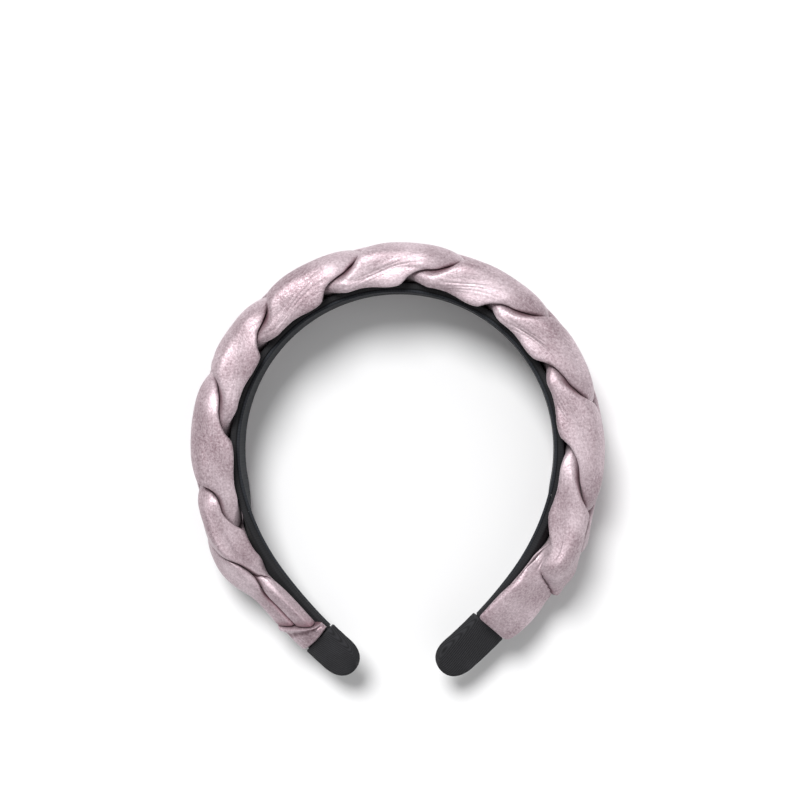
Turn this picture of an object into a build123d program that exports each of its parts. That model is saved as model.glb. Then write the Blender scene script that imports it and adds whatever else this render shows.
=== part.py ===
"""A plaited headband: three padded satin strands plaited over a black fabric-covered band.

The band is an open C that lies on its side. The head goes in along Z, the top of the head is at
+Y, and the open end with the two tips is at -Y. The origin is on the surface it lies on, under
the middle of its outline. Places are counted along the inner face of the band, from the top of
the head, with +X as the positive side. A section is drawn on a plane square to the band, with x
away from the head and y across the band, towards +Z where the band is flat.
"""

from build123d import *
import os
from collections import namedtuple
from math import ceil, copysign, cos, hypot, pi, radians, sin, sqrt

# Route of the inner face, from the top of the head to one tip, in millimetres and degrees
crown_radius = 61.3
crown_turn = 104.0
cheek_radius = 92.5
cheek_turn = 22.0
tip_radius = 170.0
tip_turn = 360.0

# Band and its lining
band_half_length = 192.7
band_thickness = 2.4
band_width = 23.0
band_tip_width = 15.0
band_corner_radius = 0.8
band_narrows_from = 90.0
band_narrows_over = 75.0
lining_thickness = 1.0
lining_gap = 0.3
lining_inset = 0.6

# Turn of the outer face towards +Z, from the arms to the tips
tip_twist = 54.0
twist_from = 108.0
twist_over = 58.0

# Plait
plait_pitch = 31.1
plait_offset = 4.4
drift_blur = 7.0
drift_step = 3.5
plait_lean = 0.30
lean_over = 40.0
plait_width = 37.0
plait_thickness = 15.6
plait_narrows_from = 95.0
near_narrows_over = 55.0
plait_thins_from = 126.0
seat_gap = 0.3
strand_gap = 0.8
least_reach = 0.6
strand_width = 25.0
strand_thickness = 11.0
weave_across = 12.4
weave_climb = 4.3
edge_droop = 4.0
droop_inset = 0.5
droop_power = 1.4
resting_flat = 0.6
resting_share = 0.9

# Ends of the plait: reach to the +Z edge and to the other edge, thickness and taper
left_end_near = 7.6
left_end_far = 7.8
left_end_thickness = 6.4
left_end_taper = 26.0
right_end_near = 11.6
right_end_far = 11.5
right_end_thickness = 7.0
right_end_taper = 32.0
settled_over = 7.0
hem_gap = 0.4

# Folded satin end on the left arm
fold_length = 9.0
fold_width = 16.0
fold_height = 5.6

# Ribbed sleeves over the tips
sleeve_wall = 1.0
sleeve_clearance = 0.3
sleeve_corner_radius = 1.6
left_sleeve_length = 18.1
right_sleeve_length = 24.7

# Fineness of the sections, and how strands press on each other
section_corners = 12
strand_spacing = 2.9
band_spacing = 6.0
tip_overrun = 1.0
nose_spacing = 1.0
flattening = 2.1
roundness = 6.0
edge_phase = 40.0
climb_rounding = 0.6
narrowest_strand = 0.3
thinnest_strand = 0.2

strand_names = ["plait_strand_a", "plait_strand_b", "plait_strand_c"]
strand_step = 360.0 / len(strand_names)

Arc = namedtuple("Arc", "radius turn")
route_arcs = [Arc(crown_radius, crown_turn), Arc(cheek_radius, cheek_turn), Arc(tip_radius, tip_turn)]

# How each strand lies at an end of the plait, as shares of the end's half width and thickness,
# and where it starts to settle there and is done, as shares of the taper before the end
Place = namedtuple("Place", "across height half_width half_thickness starts done")
left_places = [
    Place(across=0.52, height=0.52, half_width=0.68, half_thickness=0.50, starts=1.25, done=0.3),
    Place(across=-0.36, height=0.50, half_width=0.72, half_thickness=0.48, starts=1.1, done=0.3),
    Place(across=0.00, height=0.14, half_width=0.65, half_thickness=0.16, starts=1.25, done=0.55),
]
right_places = [
    Place(across=-0.34, height=0.14, half_width=0.43, half_thickness=0.16, starts=1.0, done=0.45),
    Place(across=0.36, height=0.14, half_width=0.43, half_thickness=0.16, starts=1.85, done=1.05),
    Place(across=0.11, height=0.61, half_width=1.29, half_thickness=0.51, starts=1.4, done=0.6),
]

# How the plaiting by hand drifts: how late a crossing lies, as a share of the pitch, at places
# that are shares of the band's half length
Drift = namedtuple("Drift", "place late")
drifts = [
    Drift(place=-0.778, late=-0.225),
    Drift(place=-0.732, late=-0.193),
    Drift(place=-0.659, late=0.225),
    Drift(place=-0.550, late=0.145),
    Drift(place=-0.415, late=0.267),
    Drift(place=-0.270, late=0.302),
    Drift(place=0.000, late=0.257),
    Drift(place=0.197, late=0.212),
    Drift(place=0.363, late=0.125),
    Drift(place=0.509, late=0.096),
    Drift(place=0.623, late=0.257),
    Drift(place=0.752, late=0.032),
]

# Sections of the folded satin end, from the plait to the hem, as shares of its sizes
FoldSection = namedtuple("FoldSection", "place width height")
fold_sections = [
    FoldSection(place=0.00, width=0.94, height=0.80),
    FoldSection(place=0.20, width=1.00, height=1.00),
    FoldSection(place=0.45, width=0.98, height=0.82),
    FoldSection(place=0.80, width=0.97, height=0.62),
    FoldSection(place=1.00, width=0.95, height=0.46),
]
fold_side = 0.35

tip_half = band_tip_width / 2
nose_centre = band_half_length - tip_half
sleeve_grow = sleeve_clearance + sleeve_wall
sleeve_out = band_thickness / 2 + sleeve_grow
sleeve_end = band_half_length + sleeve_grow
left_mouth = left_sleeve_length - sleeve_end
right_mouth = sleeve_end - right_sleeve_length
fold_hem = left_mouth + hem_gap
plait_left = fold_hem + fold_length + hem_gap
plait_right = right_mouth - hem_gap

PlaitEnd = namedtuple("PlaitEnd", "place near far thickness taper places")
left_end = PlaitEnd(
    plait_left, left_end_near, left_end_far, left_end_thickness, left_end_taper, left_places
)
right_end = PlaitEnd(
    plait_right, right_end_near, right_end_far, right_end_thickness, right_end_taper, right_places
)


def ease(share):
    """A smooth step from 0 to 1."""
    share = min(max(share, 0.0), 1.0)
    return share * share * (3 - 2 * share)


def between(start, end, share):
    """The value at a share of the way from one value to another."""
    return start + (end - start) * share


def places(start, end, spacing):
    """Even places from one to another, no further apart than the spacing."""
    count = ceil(abs(end - start) / spacing)
    return [between(start, end, step / count) for step in range(count + 1)]


def route(along):
    """Point of the inner face and heading, in radians clockwise from +X."""
    x, y, heading, rest = 0.0, 0.0, 0.0, abs(along)
    for arc in route_arcs:
        run = min(rest, arc.radius * radians(arc.turn))
        turned = heading + run / arc.radius
        x += arc.radius * (sin(turned) - sin(heading))
        y += arc.radius * (cos(turned) - cos(heading))
        heading = turned
        rest -= run
    side = 1 if along >= 0 else -1
    return side * x, y, side * heading


def twist(along):
    """Turn of the outer face towards +Z, in radians."""
    return radians(tip_twist) * ease((abs(along) - twist_from) / twist_over)


def band_half_width(along):
    """Half the width of the band, without its rounded tips."""
    narrowing = ease((abs(along) - band_narrows_from) / band_narrows_over)
    return between(band_width, band_tip_width, narrowing) / 2


def free_station(along):
    """Plane square to the band, from the middle of its section, before the origin is moved."""
    x, y, heading = route(along)
    turn = twist(along)
    lining_depth = band_thickness / 2 + lining_gap + lining_thickness
    rise = band_half_width(along) * sin(turn) + lining_depth * cos(turn)
    outward = Vector(sin(heading), cos(heading), 0)
    return Plane(
        origin=Vector(x, y, 0) + outward * rise,
        x_dir=outward * cos(turn) + Vector(0, 0, sin(turn)),
        z_dir=Vector(cos(heading), -sin(heading), 0),
    )


def end_of(along):
    """The end of the plait on the same arm."""
    return right_end if along > 0 else left_end


def plait_limits(along):
    """Reach of the plait to its +Z edge and to its other edge, and its thickness."""
    end = end_of(along)
    narrowing = ease((abs(along) - plait_narrows_from) / (abs(end.place) - plait_narrows_from))
    nearing = ease((abs(along) - plait_narrows_from) / near_narrows_over)
    thinning = ease((abs(along) - plait_thins_from) / (abs(end.place) - plait_thins_from))
    return (
        between(plait_width / 2, end.near, nearing),
        between(plait_width / 2, end.far, narrowing),
        between(plait_thickness, end.thickness, thinning),
    )


def lean_at(along):
    """Lean of the plait's sections along it, as a share of the way out, with none at its ends."""
    return (
        plait_lean * ease((along - plait_left) / lean_over) * ease((plait_right - along) / lean_over)
    )


def drift_line(along):
    """How late a crossing lies at a place, by the straight lines between the table's rows."""
    place = min(max(along / band_half_length, drifts[0].place), drifts[-1].place)
    for before, after in zip(drifts, drifts[1:]):
        if place <= after.place:
            share = (place - before.place) / (after.place - before.place)
            return plait_pitch * between(before.late, after.late, share)


def late_at(along):
    """How late a crossing lies, as the mean over a short stretch."""
    steps = places(-drift_blur, drift_blur, drift_step)
    return sum(drift_line(along + step) for step in steps) / len(steps)


def phase_at(index, along):
    """Phase of a strand's swing across the plait, in degrees."""
    return edge_phase + strand_step * ((along - plait_offset - late_at(along)) / plait_pitch + index)


def climb(phase):
    """Height of a strand from -1 to 1: it rises round each edge and drops quickly between."""
    angle = phase % 180.0
    if edge_phase <= angle <= 180.0 - edge_phase:
        line = (angle - 90.0) / (90.0 - edge_phase)
    elif angle > 90.0:
        line = (180.0 - angle) / edge_phase
    else:
        line = -angle / edge_phase
    return between(line, sin(line * pi / 2), climb_rounding)


Strand = namedtuple("Strand", "across height tilt half_width half_thickness")


def strand_at(index, along):
    """Middle of a strand's section, its tilt in degrees and its half sizes."""
    phase = phase_at(index, along)
    near, far, thickness = plait_limits(along)
    wide = (near + far) / plait_width
    thick = thickness / plait_thickness
    free = Strand(
        across=weave_across * wide * sin(radians(phase)),
        height=(plait_thickness / 2 + weave_climb * climb(phase)) * thick,
        tilt=90.0 * (1 - cos(radians(phase))),
        half_width=strand_width / 2 * between(narrowest_strand, 1.0, wide),
        half_thickness=strand_thickness / 2 * between(thinnest_strand, 1.0, thick),
    )
    end = end_of(along)
    place = end.places[index]
    half = (end.near + end.far) / 2
    settled_phase = phase_at(index, end.place - copysign(settled_over, end.place))
    still = Strand(
        across=place.across * half,
        height=place.height * end.thickness,
        tilt=180.0 * round((1 - cos(radians(settled_phase))) / 2),
        half_width=place.half_width * half,
        half_thickness=place.half_thickness * end.thickness,
    )
    before = abs(along - end.place) / end.taper
    settling = ease((place.starts - before) / (place.starts - place.done))
    return Strand(*(between(loose, fixed, settling) for loose, fixed in zip(free, still)))


def halfway_lines(index, other, along):
    """Lines halfway to a neighbour, here and half a spacing either way, seen from the strand.

    Each is a direction and a distance, in the stretched section.
    """
    own = strand_at(index, along)
    lines = []
    for place in (along - strand_spacing / 2, along, along + strand_spacing / 2):
        mine, theirs = strand_at(index, place), strand_at(other, place)
        aside = theirs.across - mine.across
        above = flattening * (theirs.height - mine.height)
        length = hypot(aside, above)
        aside, above = aside / length, above / length
        offset = ((mine.across + theirs.across) / 2 - own.across) * aside
        offset += flattening * ((mine.height + theirs.height) / 2 - own.height) * above
        lines.append((aside, above, max(offset - strand_gap / 2, least_reach)))
    return lines


def strand_section(index, along):
    """Corners of a strand's section, kept to the strand's own side of its neighbours.

    Heights are stretched by the flattening, so that strands lie flat on each other. A corner's
    reach is limited by the strand's own oval, by the plait's limits and by the lines halfway to
    its neighbours, all rounded into one another. Past the band's edges the plait droops.
    """
    own = strand_at(index, along)
    near, far, thickness = plait_limits(along)
    limits = [
        [(1, 0, near - own.across)],
        [(-1, 0, far + own.across)],
        [(0, 1, flattening * (thickness - own.height))],
        [(0, -1, flattening * (own.height - seat_gap))],
    ]
    for other in range(len(strand_names)):
        if other != index:
            limits.append(halfway_lines(index, other, along))
    edge = band_half_width(along) - droop_inset
    tilt = radians(own.tilt)
    corners = []
    for corner in range(section_corners):
        angle = 2 * pi * corner / section_corners
        aside, above = cos(angle), sin(angle) / flattening
        wide = (aside * cos(tilt) + above * sin(tilt)) / own.half_width
        thick = (above * cos(tilt) - aside * sin(tilt)) / own.half_thickness
        pull = hypot(wide, thick) ** roundness
        for lines in limits:
            lean = max((aside * line[0] + sin(angle) * line[1]) / line[2] for line in lines)
            pull += max(0.0, lean) ** roundness
        reach = pull ** (-1 / roundness)
        across = own.across + reach * aside
        over = max(0.0, (abs(across) - edge) / (plait_width / 2 - edge))
        droop = edge_droop * over**droop_power
        corners.append((band_thickness / 2 + own.height + reach * above - droop, across))
    return corners


def outline_points():
    """Outermost points of the plait and of the two tips, before the origin is moved."""
    sections = []
    for along in places(plait_left, plait_right, strand_spacing):
        for index in range(len(strand_names)):
            sections.append((along, strand_section(index, along)))
    for along in places(nose_centre, sleeve_end, nose_spacing):
        half = sqrt(max(0.0, (tip_half + sleeve_grow) ** 2 - (along - nose_centre) ** 2))
        corners = [(out, y) for out in (-sleeve_out, sleeve_out) for y in (-half, half)]
        sections += [(-along, corners), (along, corners)]
    points = []
    for along, corners in sections:
        plane = free_station(along)
        way_out = plane.x_dir + plane.z_dir * lean_at(along)
        for out, across in corners:
            points.append(plane.origin + way_out * out + plane.y_dir * across)
    return points


def middle(values):
    """Halfway between the least and the greatest."""
    return (min(values) + max(values)) / 2


outline = outline_points()
origin = Vector(
    middle([point.X for point in outline]),
    middle([point.Y for point in outline]),
    min(point.Z for point in outline) + resting_flat,
)


def station(along):
    """Plane square to the band, from the middle of its section."""
    plane = free_station(along)
    return Plane(origin=plane.origin - origin, x_dir=plane.x_dir, z_dir=plane.z_dir)


def pressed(corners, along):
    """The same corners, with what would lie below the floor pressed nearly flat onto it."""
    turn = twist(along)
    heights = [out * sin(turn) + across * cos(turn) - origin.Z for out, across in corners]
    return [
        (out, across - resting_share * min(0.0, height) / cos(turn))
        for (out, across), height in zip(corners, heights)
    ]


def leaned(plane, along):
    """The plane turned about its way across, to lean along the plait."""
    lean = lean_at(along)
    return Plane(plane.origin, plane.x_dir + plane.z_dir * lean, plane.z_dir - plane.x_dir * lean)


def plait_strand(index):
    """One padded strand, from the folded end on the left arm to the hem on the right one."""
    with BuildPart() as strand:
        for along in places(plait_left, plait_right, strand_spacing):
            stretch = hypot(1.0, lean_at(along))
            corners = pressed(strand_section(index, along), along)
            with BuildSketch(leaned(station(along), along)):
                with BuildLine():
                    Polyline(*[(out * stretch, across) for out, across in corners], close=True)
                make_face()
        loft(ruled=True)
    return strand


def strip(start, end, grow, corner_radius):
    """A strip along the band's line, grown all round. An end past a tip is cut to a half round."""
    radius = tip_half + grow
    with BuildPart() as piece:
        for along in places(start, end, band_spacing):
            with BuildSketch(station(along)):
                half = band_half_width(along) + grow
                RectangleRounded(band_thickness + 2 * grow, 2 * half, corner_radius)
        loft()
        for side in (-1, 1):
            if max(side * start, side * end) > nose_centre:
                square = station(side * nose_centre)
                with BuildSketch(Plane(square.origin, square.z_dir * side, square.x_dir)):
                    Rectangle(2 * radius, 2 * (radius + tip_overrun), align=(Align.MIN, Align.CENTER))
                    Circle(radius, mode=Mode.SUBTRACT)
                extrude(amount=band_thickness + grow, both=True, mode=Mode.SUBTRACT)
    return piece


def tip_sleeve(mouth):
    """A sleeve over one tip of the band, open at its mouth."""
    tip = copysign(sleeve_end + tip_overrun, mouth)
    start, end = min(mouth, tip), max(mouth, tip)
    cavity = strip(start, end, sleeve_clearance, band_corner_radius)
    with BuildPart() as sleeve:
        add(strip(start, end, sleeve_grow, sleeve_corner_radius))
        add(cavity, mode=Mode.SUBTRACT)
    return sleeve


with BuildPart() as inner_lining:
    depth = band_thickness / 2 + lining_gap + lining_thickness / 2
    for along in places(left_mouth + hem_gap, right_mouth - hem_gap, band_spacing):
        with BuildSketch(station(along)):
            with Locations((-depth, 0)):
                Rectangle(lining_thickness, 2 * (band_half_width(along) - lining_inset))
    loft()

with BuildPart() as end_fold_left:
    seat = band_thickness / 2 + seat_gap
    for section in fold_sections:
        half = fold_width * section.width / 2
        height = fold_height * section.height
        side = seat + height * fold_side
        with BuildSketch(station(between(plait_left - hem_gap, fold_hem, section.place))):
            with BuildLine():
                Polyline((side, -half), (seat, -half), (seat, half), (side, half))
                ThreePointArc((side, half), (seat + height, 0), (side, -half))
            make_face()
    loft()

pieces = {
    "band": strip(-band_half_length - tip_overrun, band_half_length + tip_overrun, 0, band_corner_radius),
    "inner_lining": inner_lining,
    "end_fold_left": end_fold_left,
    "tip_sleeve_left": tip_sleeve(left_mouth),
    "tip_sleeve_right": tip_sleeve(right_mouth),
}
for index, name in enumerate(strand_names):
    pieces[name] = plait_strand(index)

os.makedirs("parts", exist_ok=True)
for name, piece in pieces.items():
    piece.part.label = name
    export_step(piece.part, f"parts/{name}.step")
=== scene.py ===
"""The plaited headband dressed in satin, black cloth and ribbed ribbon, lying on a pale floor.

The sizes are in millimetres and the meshes in metres. Places are counted along the inner face of
the band, from the top of the head, with the arm towards +X as the positive side. A section stands
square to the band, with x away from the head and y across the band, towards +Z where it is flat.
"""

import logging
import math
from dataclasses import dataclass, field
from enum import Enum, IntEnum

import bpy
import numpy as np
from mathutils import Matrix, Vector


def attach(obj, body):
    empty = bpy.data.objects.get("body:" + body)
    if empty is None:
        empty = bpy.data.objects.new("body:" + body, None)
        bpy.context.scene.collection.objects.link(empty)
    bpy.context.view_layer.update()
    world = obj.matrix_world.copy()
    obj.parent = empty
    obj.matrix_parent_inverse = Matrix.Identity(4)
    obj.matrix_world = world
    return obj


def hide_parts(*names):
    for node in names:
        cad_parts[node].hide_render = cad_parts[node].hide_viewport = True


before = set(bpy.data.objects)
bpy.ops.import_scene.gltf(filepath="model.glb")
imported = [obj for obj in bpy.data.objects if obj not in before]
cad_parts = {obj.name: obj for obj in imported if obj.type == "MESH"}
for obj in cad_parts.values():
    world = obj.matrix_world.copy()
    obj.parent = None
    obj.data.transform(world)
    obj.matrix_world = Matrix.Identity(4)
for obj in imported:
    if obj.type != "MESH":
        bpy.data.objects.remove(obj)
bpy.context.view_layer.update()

log = logging.getLogger("headband")

Array = np.ndarray

MM_PER_M = 1000.0


def ease(share: Array) -> Array:
    """A smooth step from 0 to 1: three times the square less twice the cube.

    Args:
        share: Shares of the way, of any size.

    Returns:
        The eased shares, from 0 to 1.
    """
    share = np.clip(share, 0.0, 1.0)
    return share * share * (3.0 - 2.0 * share)


def between(start: Array, end: Array, share: Array) -> Array:
    """The value at a share of the way from one value to another."""
    return start + (end - start) * share


def bump(value: Array, centre: Array, width: Array) -> Array:
    """A bell of height 1 round a centre: e to the minus square of the distance over the width."""
    return np.exp(-(((value - centre) / width) ** 2))


@dataclass
class BandLine:
    """The line of the band: three arcs to each tip, narrowing and turning its face up.

    An arc is its radius and its turn in degrees. The lining's depth is its thickness with its gap
    to the band. The origin is the CAD model's, seen from the inner face at the top of the head.
    """

    arcs: tuple[tuple[float, float], ...] = ((61.3, 104.0), (92.5, 22.0), (170.0, 360.0))
    half_length: float = 192.7
    thickness: float = 2.4
    width: float = 23.0
    tip_width: float = 15.0
    narrows_from: float = 90.0
    narrows_over: float = 75.0
    lining_depth: float = 1.3
    tip_twist: float = 54.0
    twist_from: float = 108.0
    twist_over: float = 58.0
    origin: tuple[float, float, float] = (0.042, -65.997, -17.551)

    def twist(self, along: Array) -> Array:
        """Turn of the outer face towards +Z, in radians."""
        share = ease((np.abs(along) - self.twist_from) / self.twist_over)
        return math.radians(self.tip_twist) * share

    def half_width(self, along: Array) -> Array:
        """Half the width of the band, without its rounded tips."""
        share = ease((np.abs(along) - self.narrows_from) / self.narrows_over)
        return between(self.width, self.tip_width, share) / 2

    def axes(self, along: Array) -> tuple[Array, Array, Array, Array]:
        """The middle of the band's section and its directions out, across and along.

        Each arc adds its radius times the change in sine and cosine of the heading, and the
        directions turn about the way along by the twist.

        Args:
            along: Places, in an array of one dimension.

        Returns:
            Four arrays of points and unit directions, a row for each place.
        """
        rest, heading = np.abs(along), np.zeros_like(along, dtype=float)
        x, y = np.zeros_like(heading), np.zeros_like(heading)
        for radius, turn in self.arcs:
            run = np.clip(rest, 0.0, radius * math.radians(turn))
            turned = heading + run / radius
            x = x + radius * (np.sin(turned) - np.sin(heading))
            y = y + radius * (np.cos(turned) - np.cos(heading))
            heading, rest = turned, rest - run
        side = np.sign(along)
        x, heading = x * side, heading * side
        zero = np.zeros_like(heading)
        outward = np.stack([np.sin(heading), np.cos(heading), zero], -1)
        forward = np.stack([np.cos(heading), -np.sin(heading), zero], -1)
        up = np.stack([zero, zero, zero + 1.0], -1)
        turn = self.twist(along)[:, None]
        depth = self.thickness / 2 + self.lining_depth
        rise = self.half_width(along)[:, None] * np.sin(turn) + depth * np.cos(turn)
        middle = np.stack([x, y, zero], -1) + outward * rise - np.array(self.origin)
        out = outward * np.cos(turn) + up * np.sin(turn)
        across = up * np.cos(turn) - outward * np.sin(turn)
        return middle, out, across, forward

    def place(self, along: Array, out: Array, across: Array, ahead: Array | float = 0.0) -> Array:
        """Points in space for sections drawn across the band.

        Args:
            along: Places, one for each section.
            out: Distances out of the band's middle, a row for each section.
            across: Distances across the band, a row for each section.
            ahead: How far each point lies ahead of its section, along the band.

        Returns:
            Points, a row of them for each section, in millimetres.
        """
        middle, out_way, across_way, forward = self.axes(along)
        ahead = np.broadcast_to(ahead, out.shape)
        return (
            middle[:, None, :]
            + out[..., None] * out_way[:, None, :]
            + across[..., None] * across_way[:, None, :]
            + ahead[..., None] * forward[:, None, :]
        )

    def press(self, points: Array) -> Array:
        """The same points, with what would lie below the floor pressed flat onto it."""
        points[..., 2] = np.maximum(points[..., 2], 0.0)
        return points


class Side(Enum):
    """The two arms, by the sign of a place on each."""

    LEFT = -1
    RIGHT = 1


def rounded_section(wide: float, deep: float, corner: float, count: int) -> tuple[Array, Array]:
    """A rounded rectangle's outline, in even steps, as shares of its half sizes.

    Each corner is a quarter circle about its centre, and the outline is walked by its length.

    Args:
        wide: Half the size across.
        deep: Half the size out.
        corner: Radius of the corners.
        count: Number of points.

    Returns:
        Shares of the half size across and out.
    """
    quarter, steps_each = math.pi / 2, 9
    turns = np.linspace(0, quarter, steps_each)[None] + np.arange(4)[:, None] * quarter
    middle = turns[:, steps_each // 2, None]
    across = np.sign(np.cos(middle)) * (wide - corner) + corner * np.cos(turns)
    out = np.sign(np.sin(middle)) * (deep - corner) + corner * np.sin(turns)
    loop = np.stack([across.reshape(-1), out.reshape(-1)], -1)
    loop = np.concatenate([loop, loop[:1]])
    way = np.concatenate([[0.0], np.cumsum(np.linalg.norm(np.diff(loop, axis=0), axis=1))])
    steps = np.linspace(0, way[-1], count, endpoint=False)
    return np.interp(steps, way, loop[:, 0]) / wide, np.interp(steps, way, loop[:, 1]) / deep


@dataclass(frozen=True)
class Mesh:
    """Grids of points turned into closed skins, with a UV map.

    The points, in millimetres, are counted by skin, row and column, and the lengths give each
    row's place along the piece. The UV map's u runs round the section, over the girth, and v
    along the piece, both in metres.
    """

    points: Array
    girth: float
    lengths: Array

    def build(self, name: str) -> bpy.types.Object:
        """Makes one object of all the skins.

        A face joins two neighbours of a row to the same two of the next row, and a cap joins the
        neighbours of an end row to that row's middle point.

        Args:
            name: The object's name.

        Returns:
            The new object, linked to the scene.
        """
        skins, rows, columns = self.points.shape[:3]
        row, column = np.meshgrid(np.arange(rows - 1), np.arange(columns), indexing="ij")
        after, start = (column + 1) % columns, row * columns
        quads = np.stack(
            [start + column, start + columns + column, start + columns + after, start + after], -1
        ).reshape(-1, 4)
        u = np.stack([column, column, column + 1, column + 1], -1) / columns * self.girth
        v = np.stack([self.lengths[row + step] for step in (0, 1, 1, 0)], -1) / MM_PER_M
        first, total = np.arange(columns), rows * columns
        following, last = (first + 1) % columns, total - columns
        caps = np.concatenate(
            [
                np.stack([first, following, np.full(columns, total)], -1),
                np.stack([last + following, last + first, np.full(columns, total + 1)], -1),
            ]
        )
        uv = np.concatenate([np.stack([u, v], -1).reshape(-1, 2), np.zeros((caps.size, 2))])
        corners = np.concatenate([quads.reshape(-1), caps.reshape(-1)])
        sizes = np.concatenate([np.full(len(quads), 4), np.full(len(caps), 3)])
        ends = self.points[:, [0, -1]].mean(2)
        flat = np.concatenate([self.points.reshape(skins, total, 3), ends], 1).reshape(-1, 3)
        corners = (corners[None] + np.arange(skins)[:, None] * (total + 2)).reshape(-1)
        sizes, uv = np.tile(sizes, skins), np.tile(uv, (skins, 1))
        mesh = bpy.data.meshes.new(name)
        mesh.vertices.add(len(flat))
        mesh.vertices.foreach_set("co", (flat / MM_PER_M).astype(np.float32).reshape(-1))
        mesh.loops.add(len(corners))
        mesh.loops.foreach_set("vertex_index", corners.astype(np.int32))
        mesh.polygons.add(len(sizes))
        starts = np.concatenate([[0], np.cumsum(sizes)[:-1]])
        mesh.polygons.foreach_set("loop_start", starts.astype(np.int32))
        mesh.polygons.foreach_set("use_smooth", np.ones(len(sizes), dtype=bool))
        mesh.uv_layers.new(name="cloth").data.foreach_set("uv", uv.astype(np.float32).reshape(-1))
        mesh.update(calc_edges=True)
        mesh.validate()
        piece = bpy.data.objects.new(name, mesh)
        bpy.context.scene.collection.objects.link(piece)
        return piece


def shade_creases(piece: bpy.types.Object, share: Array) -> None:
    """Stores how much painted shade each point of a single skin gets, by how deep in a crease it
    lies, with none for its caps.

    Args:
        piece: The piece, made as one skin.
        share: How much painted shade each point gets, from 0 on the free satin to 1 down in a
            crease.
    """
    values = np.concatenate([share.reshape(-1), [0.0, 0.0]])
    crease = piece.data.attributes.new("crease", "FLOAT", "POINT")
    crease.data.foreach_set("value", values.astype(np.float32))


class Shade:
    """A shader socket or a number, with operators that add Math nodes."""

    def __init__(self, bench: "Bench", socket: bpy.types.NodeSocket) -> None:
        """Keeps the socket and the bench that makes nodes beside it."""
        self.bench = bench
        self.socket = socket

    def _math(self, operation: str, first: object, second: object) -> "Shade":
        """A Math node on two values or sockets."""
        return self.bench.node("ShaderNodeMath", {"operation": operation}, {0: first, 1: second})

    def __add__(self, other: object) -> "Shade":
        """The sum."""
        return self._math("ADD", self, other)

    __radd__ = __add__

    def __sub__(self, other: object) -> "Shade":
        """The difference."""
        return self._math("SUBTRACT", self, other)

    def __rsub__(self, other: object) -> "Shade":
        """The difference, the other way round."""
        return self._math("SUBTRACT", other, self)

    def __mul__(self, other: object) -> "Shade":
        """The product."""
        return self._math("MULTIPLY", self, other)

    __rmul__ = __mul__

    def sine(self) -> "Shade":
        """The sine of an angle in radians."""
        return self._math("SINE", self, 0.0)

    def clear(self, low: float, high: float) -> "Shade":
        """A smooth step from 0 to 1 between two values."""
        return self.bench.node(
            "ShaderNodeMapRange",
            {"interpolation_type": "SMOOTHSTEP"},
            {"Value": self, "From Min": low, "From Max": high},
        )


class MixSocket(IntEnum):
    """The numbers of a Mix node's sockets for colours."""

    SHARE = 0
    FIRST = 6
    SECOND = 7
    RESULT = 2


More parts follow.
